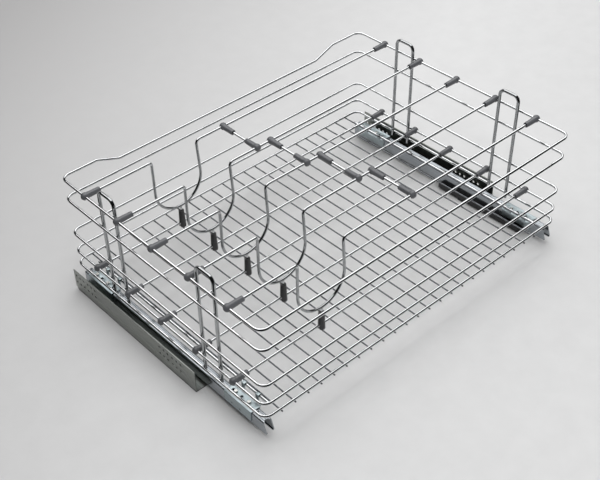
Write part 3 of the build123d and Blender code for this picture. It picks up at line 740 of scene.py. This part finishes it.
def drawerRailShape(node):
    c = channel
    low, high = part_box(node)
    middle = (low.x + high.x) / 2
    toCentre = -math.copysign(1, middle)
    profile = channelProfile(low.z, high.z)
    stations = np.linspace(low.y, high.y, c["stations"])
    count = len(profile)
    points = np.stack([
        np.column_stack((middle + profile[:, 0], np.full(count, y), profile[:, 1])) for y in stations
    ]).reshape(-1, 3)
    last = (len(stations) - 1) * count
    faces = gridFaces(len(stations), count).tolist() + [list(range(count)), list(range(last, last + count))]
    under, over = high.z - 2 * c["wall"], high.z + c["cutPast"]
    drill = ((0, 0, under), (0, 0, over))

    def drilled(x, y, radius):
        shape, quads = wireShape(drill, 2 * radius, (0, 1, 0), sides=c["holeSides"], dome=0)
        return shape + (x, y, 0), quads

    # The wedge leaves two ears at the front end: its slope rises from their foot to the top of the channel
    earZ, earEnd, front = low.z + c["earFoot"], low.y + c["earRun"], low.y - c["earCutPast"]
    outline = [(front, earZ), (low.y, earZ), (earEnd, high.z), (earEnd, over), (front, over)]
    wedge = [(middle + x, y, z) for x in (-c["earCutHalf"], c["earCutHalf"]) for y, z in outline]
    n = len(outline)
    wedgeFaces = [list(range(n)), list(range(2 * n - 1, n - 1, -1))] + gridFaces(2, n).tolist()
    r = c["notchRadius"]
    notchEnd = low.y + c["notchDepth"] - r
    cutters = [
        drilled(middle, notchEnd, r),
        blockShape((middle - r, low.y - c["cutPast"], under), (middle + r, notchEnd, over)),
        (wedge, wedgeFaces),
    ]
    cutters += [drilled(middle, low.y + gap, c["endHole"]) for gap in c["holeGaps"]]
    across, along = c["slotHalves"]
    for gap in c["slotGaps"]:
        y = low.y + gap
        cutters.append(blockShape((middle - across, y - along, under), (middle + across, y + along, over)))
    x = middle + toCentre * c["screwOffset"]
    for start, first, pitch in c["plateGaps"]:
        cutters += [drilled(x, low.y + start + first + step, c["plateHole"]) for step in (0, pitch)]
    return cutBy(points, faces, cutters)


for side in ("left", "right"):
    node = f"{side}_drawer_rail"
    addPiece(
        f"{side}DrawerRail", *drawerRailShape(node),
        nodes[node]["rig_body"], drawnZinc, "rail_sheet", [node], sharp=32,
    )
print("drawer rails done")


# The hidden running parts keep their CAD solids

kept = {
    "lower_rollers": brightZinc, "upper_rollers": brightZinc,
    "lower_cage": milkyAcetal, "upper_cage": milkyAcetal,
    "close_damper": turnedAluminium, "close_rod": brightZinc,
    "close_catch": blackHousing, "striker_pin": brightZinc,
}
for side in ("left", "right"):
    for part, material in kept.items():
        materials = nodes[f"{side}_{part}"].data.materials
        materials.clear()
        materials.append(material)
print("running parts done")


# Camera, floor and light

camera = {
    "place": (-0.9209, -0.9797, 1.1560), "azimuth": -39.193, "elevation": 41.63, "roll": 2.868,  # degrees
    "lens": 63.95, "sensor": 36, "shift": (0.063, 0.066), "sight": 30,  # millimetres, shares, metres
}


def addCamera():
    # Back points from the basket to the camera, and right is the level direction turned by the roll
    azimuth, elevation, roll = (math.radians(camera[k]) for k in ("azimuth", "elevation", "roll"))
    back = Vector((
        math.sin(azimuth) * math.cos(elevation), -math.cos(azimuth) * math.cos(elevation), math.sin(elevation)
    ))
    level = Vector((math.cos(azimuth), math.sin(azimuth), 0))
    right = level * math.cos(roll) - back.cross(level) * math.sin(roll)
    data = bpy.data.cameras.new("photoCamera")
    data.sensor_width = camera["sensor"]
    data.lens = camera["lens"]
    data.shift_x, data.shift_y = camera["shift"]
    data.clip_end = camera["sight"]
    item = addObject("photoCamera", data)
    axes = Matrix((right, back.cross(right), back)).transposed().to_4x4()
    item.matrix_world = Matrix.Translation(camera["place"]) @ axes
    bpy.context.scene.camera = item


paper = {
    "tones": ("#D6D6D6", "#DADADA"), "half": 12.0, "z": -0.0004,  # just under the part
    # Painted shade on the paper: its darkest tone, the way it deepens and how far
    "paperShadeTone": "#ABAAAA", "farWay": (-0.45, 0.89, 0), "farReach": 1.0,  # full this far that way
}
sky = {"tone": "#B9BBBE", "strength": 0.05}
softboxes = {  # place, what it faces, width and depth, glow
    "overheadSoftbox": ((0.95, 0.8, 1.9), (0.95, 0.8, 0), (4.3, 2.5), 2.1),
    "farSoftbox": ((1.3, 2.7, 0.8), (0.3, 0, 0.2), (3.4, 1.3), 0.8),
    "paperLamp": ((-0.35, -1.45, 1.6), (-0.2, -0.4, 0), (1.5, 1.0), 4.4),  # metal does not mirror it
}
flag = {
    "tones": ("#020202", "#050505"), "radius": 1.6, "top": 1.1, "z": 0.0006,
    "turn": 95, "columns": 41,  # degrees to each side of the camera
    "picture": ((-0.628, -0.033), (-0.036, -0.581), (1.078, 0.220), (0.104, 1.204)),  # corners on the floor
    "gap": 1.06,  # its inner edge over the picture's outline
}


def paperSurface():
    # Matt paper with painted shade: it turns evenly greyer towards the back left, over a metre from the
    # origin
    material = surface("mattPaper", *paper["tones"], (0.8, 0.9), 0.0, 40, bump=0.0)
    tree = material.node_tree
    shader = tree.nodes["Principled BSDF"]
    tones = shader.inputs["Base Color"].links[0].from_socket
    where = addNode(tree, "ShaderNodeTexCoord", (-1100, 700))
    along = addNode(
        tree, "ShaderNodeVectorMath", (-920, 700),
        {0: where.outputs["Object"], 1: paper["farWay"]}, operation="DOT_PRODUCT",
    )
    share = addNode(
        tree, "ShaderNodeMapRange", (-740, 700),
        {"Value": along.outputs["Value"], "From Min": 0.0, "From Max": paper["farReach"]},
    )
    mixed = addNode(
        tree, "ShaderNodeMix", (-520, 700),
        {0: share.outputs["Result"], 6: tones, 7: hexColour(paper["paperShadeTone"])}, data_type="RGBA",
    )
    tree.links.new(mixed.outputs[2], shader.inputs["Base Color"])
    return material


def addPaper():
    half, z = paper["half"], paper["z"]
    corners = [(-half, -half, z), (half, -half, z), (half, half, z), (-half, half, z)]
    mesh = bpy.data.meshes.new("paperFloor")
    mesh.from_pydata(corners, [], [(0, 1, 2, 3)])
    mesh.materials.append(paperSurface())
    addObject("paperFloor", mesh)


def addSky():
    world = bpy.data.worlds.new("studioWorld")
    world.use_nodes = True
    bpy.context.scene.world = world
    background = world.node_tree.nodes["Background"]
    background.inputs["Color"].default_value = hexColour(sky["tone"])
    background.inputs["Strength"].default_value = sky["strength"]


def addSoftboxes():
    # Glow is how bright a softbox looks, whatever its size: energy = glow * pi * width * depth
    for name, (place, aim, size, glow) in softboxes.items():
        data = bpy.data.lights.new(name, "AREA")
        data.shape = "RECTANGLE"
        data.size, data.size_y = size
        data.energy = glow * math.pi * size[0] * size[1]
        item = addObject(name, data)
        item.location = place
        item.rotation_euler = (Vector(aim) - Vector(place)).to_track_quat("-Z", "Y").to_euler()
        item.visible_glossy = name != "paperLamp"


def addFlag():
    # A black cloth in about a half circle on the camera's side, for the dark lines in the chrome. It lies on
    # the floor from just outside the picture's four corners out to a radius, and stands up there. In each
    # direction the corners' outline is as far as the nearest of its sides: offset / (normal . direction)
    middle = math.radians(camera["azimuth"] - 90)
    a = middle + np.radians(np.linspace(-flag["turn"], flag["turn"], flag["columns"]))
    around = np.stack((np.cos(a), np.sin(a)), -1)
    corners = np.array(flag["picture"])
    sides = np.roll(corners, -1, 0) - corners
    normals = np.stack((sides[:, 1], -sides[:, 0]), -1)
    facing = around @ normals.T
    reach = np.where(facing > 0, np.sum(normals * corners, 1) / np.maximum(facing, 1e-6), np.inf).min(1)
    outer = np.full(len(a), flag["radius"])
    rows = [(reach * flag["gap"], flag["z"]), (outer, flag["z"]), (outer, flag["top"])]
    points = np.concatenate([np.column_stack((around * r[:, None], np.full(len(a), h))) for r, h in rows])
    mesh = bpy.data.meshes.new("blackFlag")
    mesh.from_pydata(points.tolist(), [], gridFaces(len(rows), len(a), closeColumns=False).tolist())
    mesh.materials.append(surface("blackVelvet", *flag["tones"], (0.9, 1.0), 0.0, 10, bump=0.0))
    item = addObject("blackFlag", mesh)
    item.visible_camera = item.visible_diffuse = item.visible_shadow = False


addCamera()
addPaper()
addSky()
addSoftboxes()
addFlag()
bpy.context.scene.view_settings.view_transform = "Standard"
print("camera and studio done")
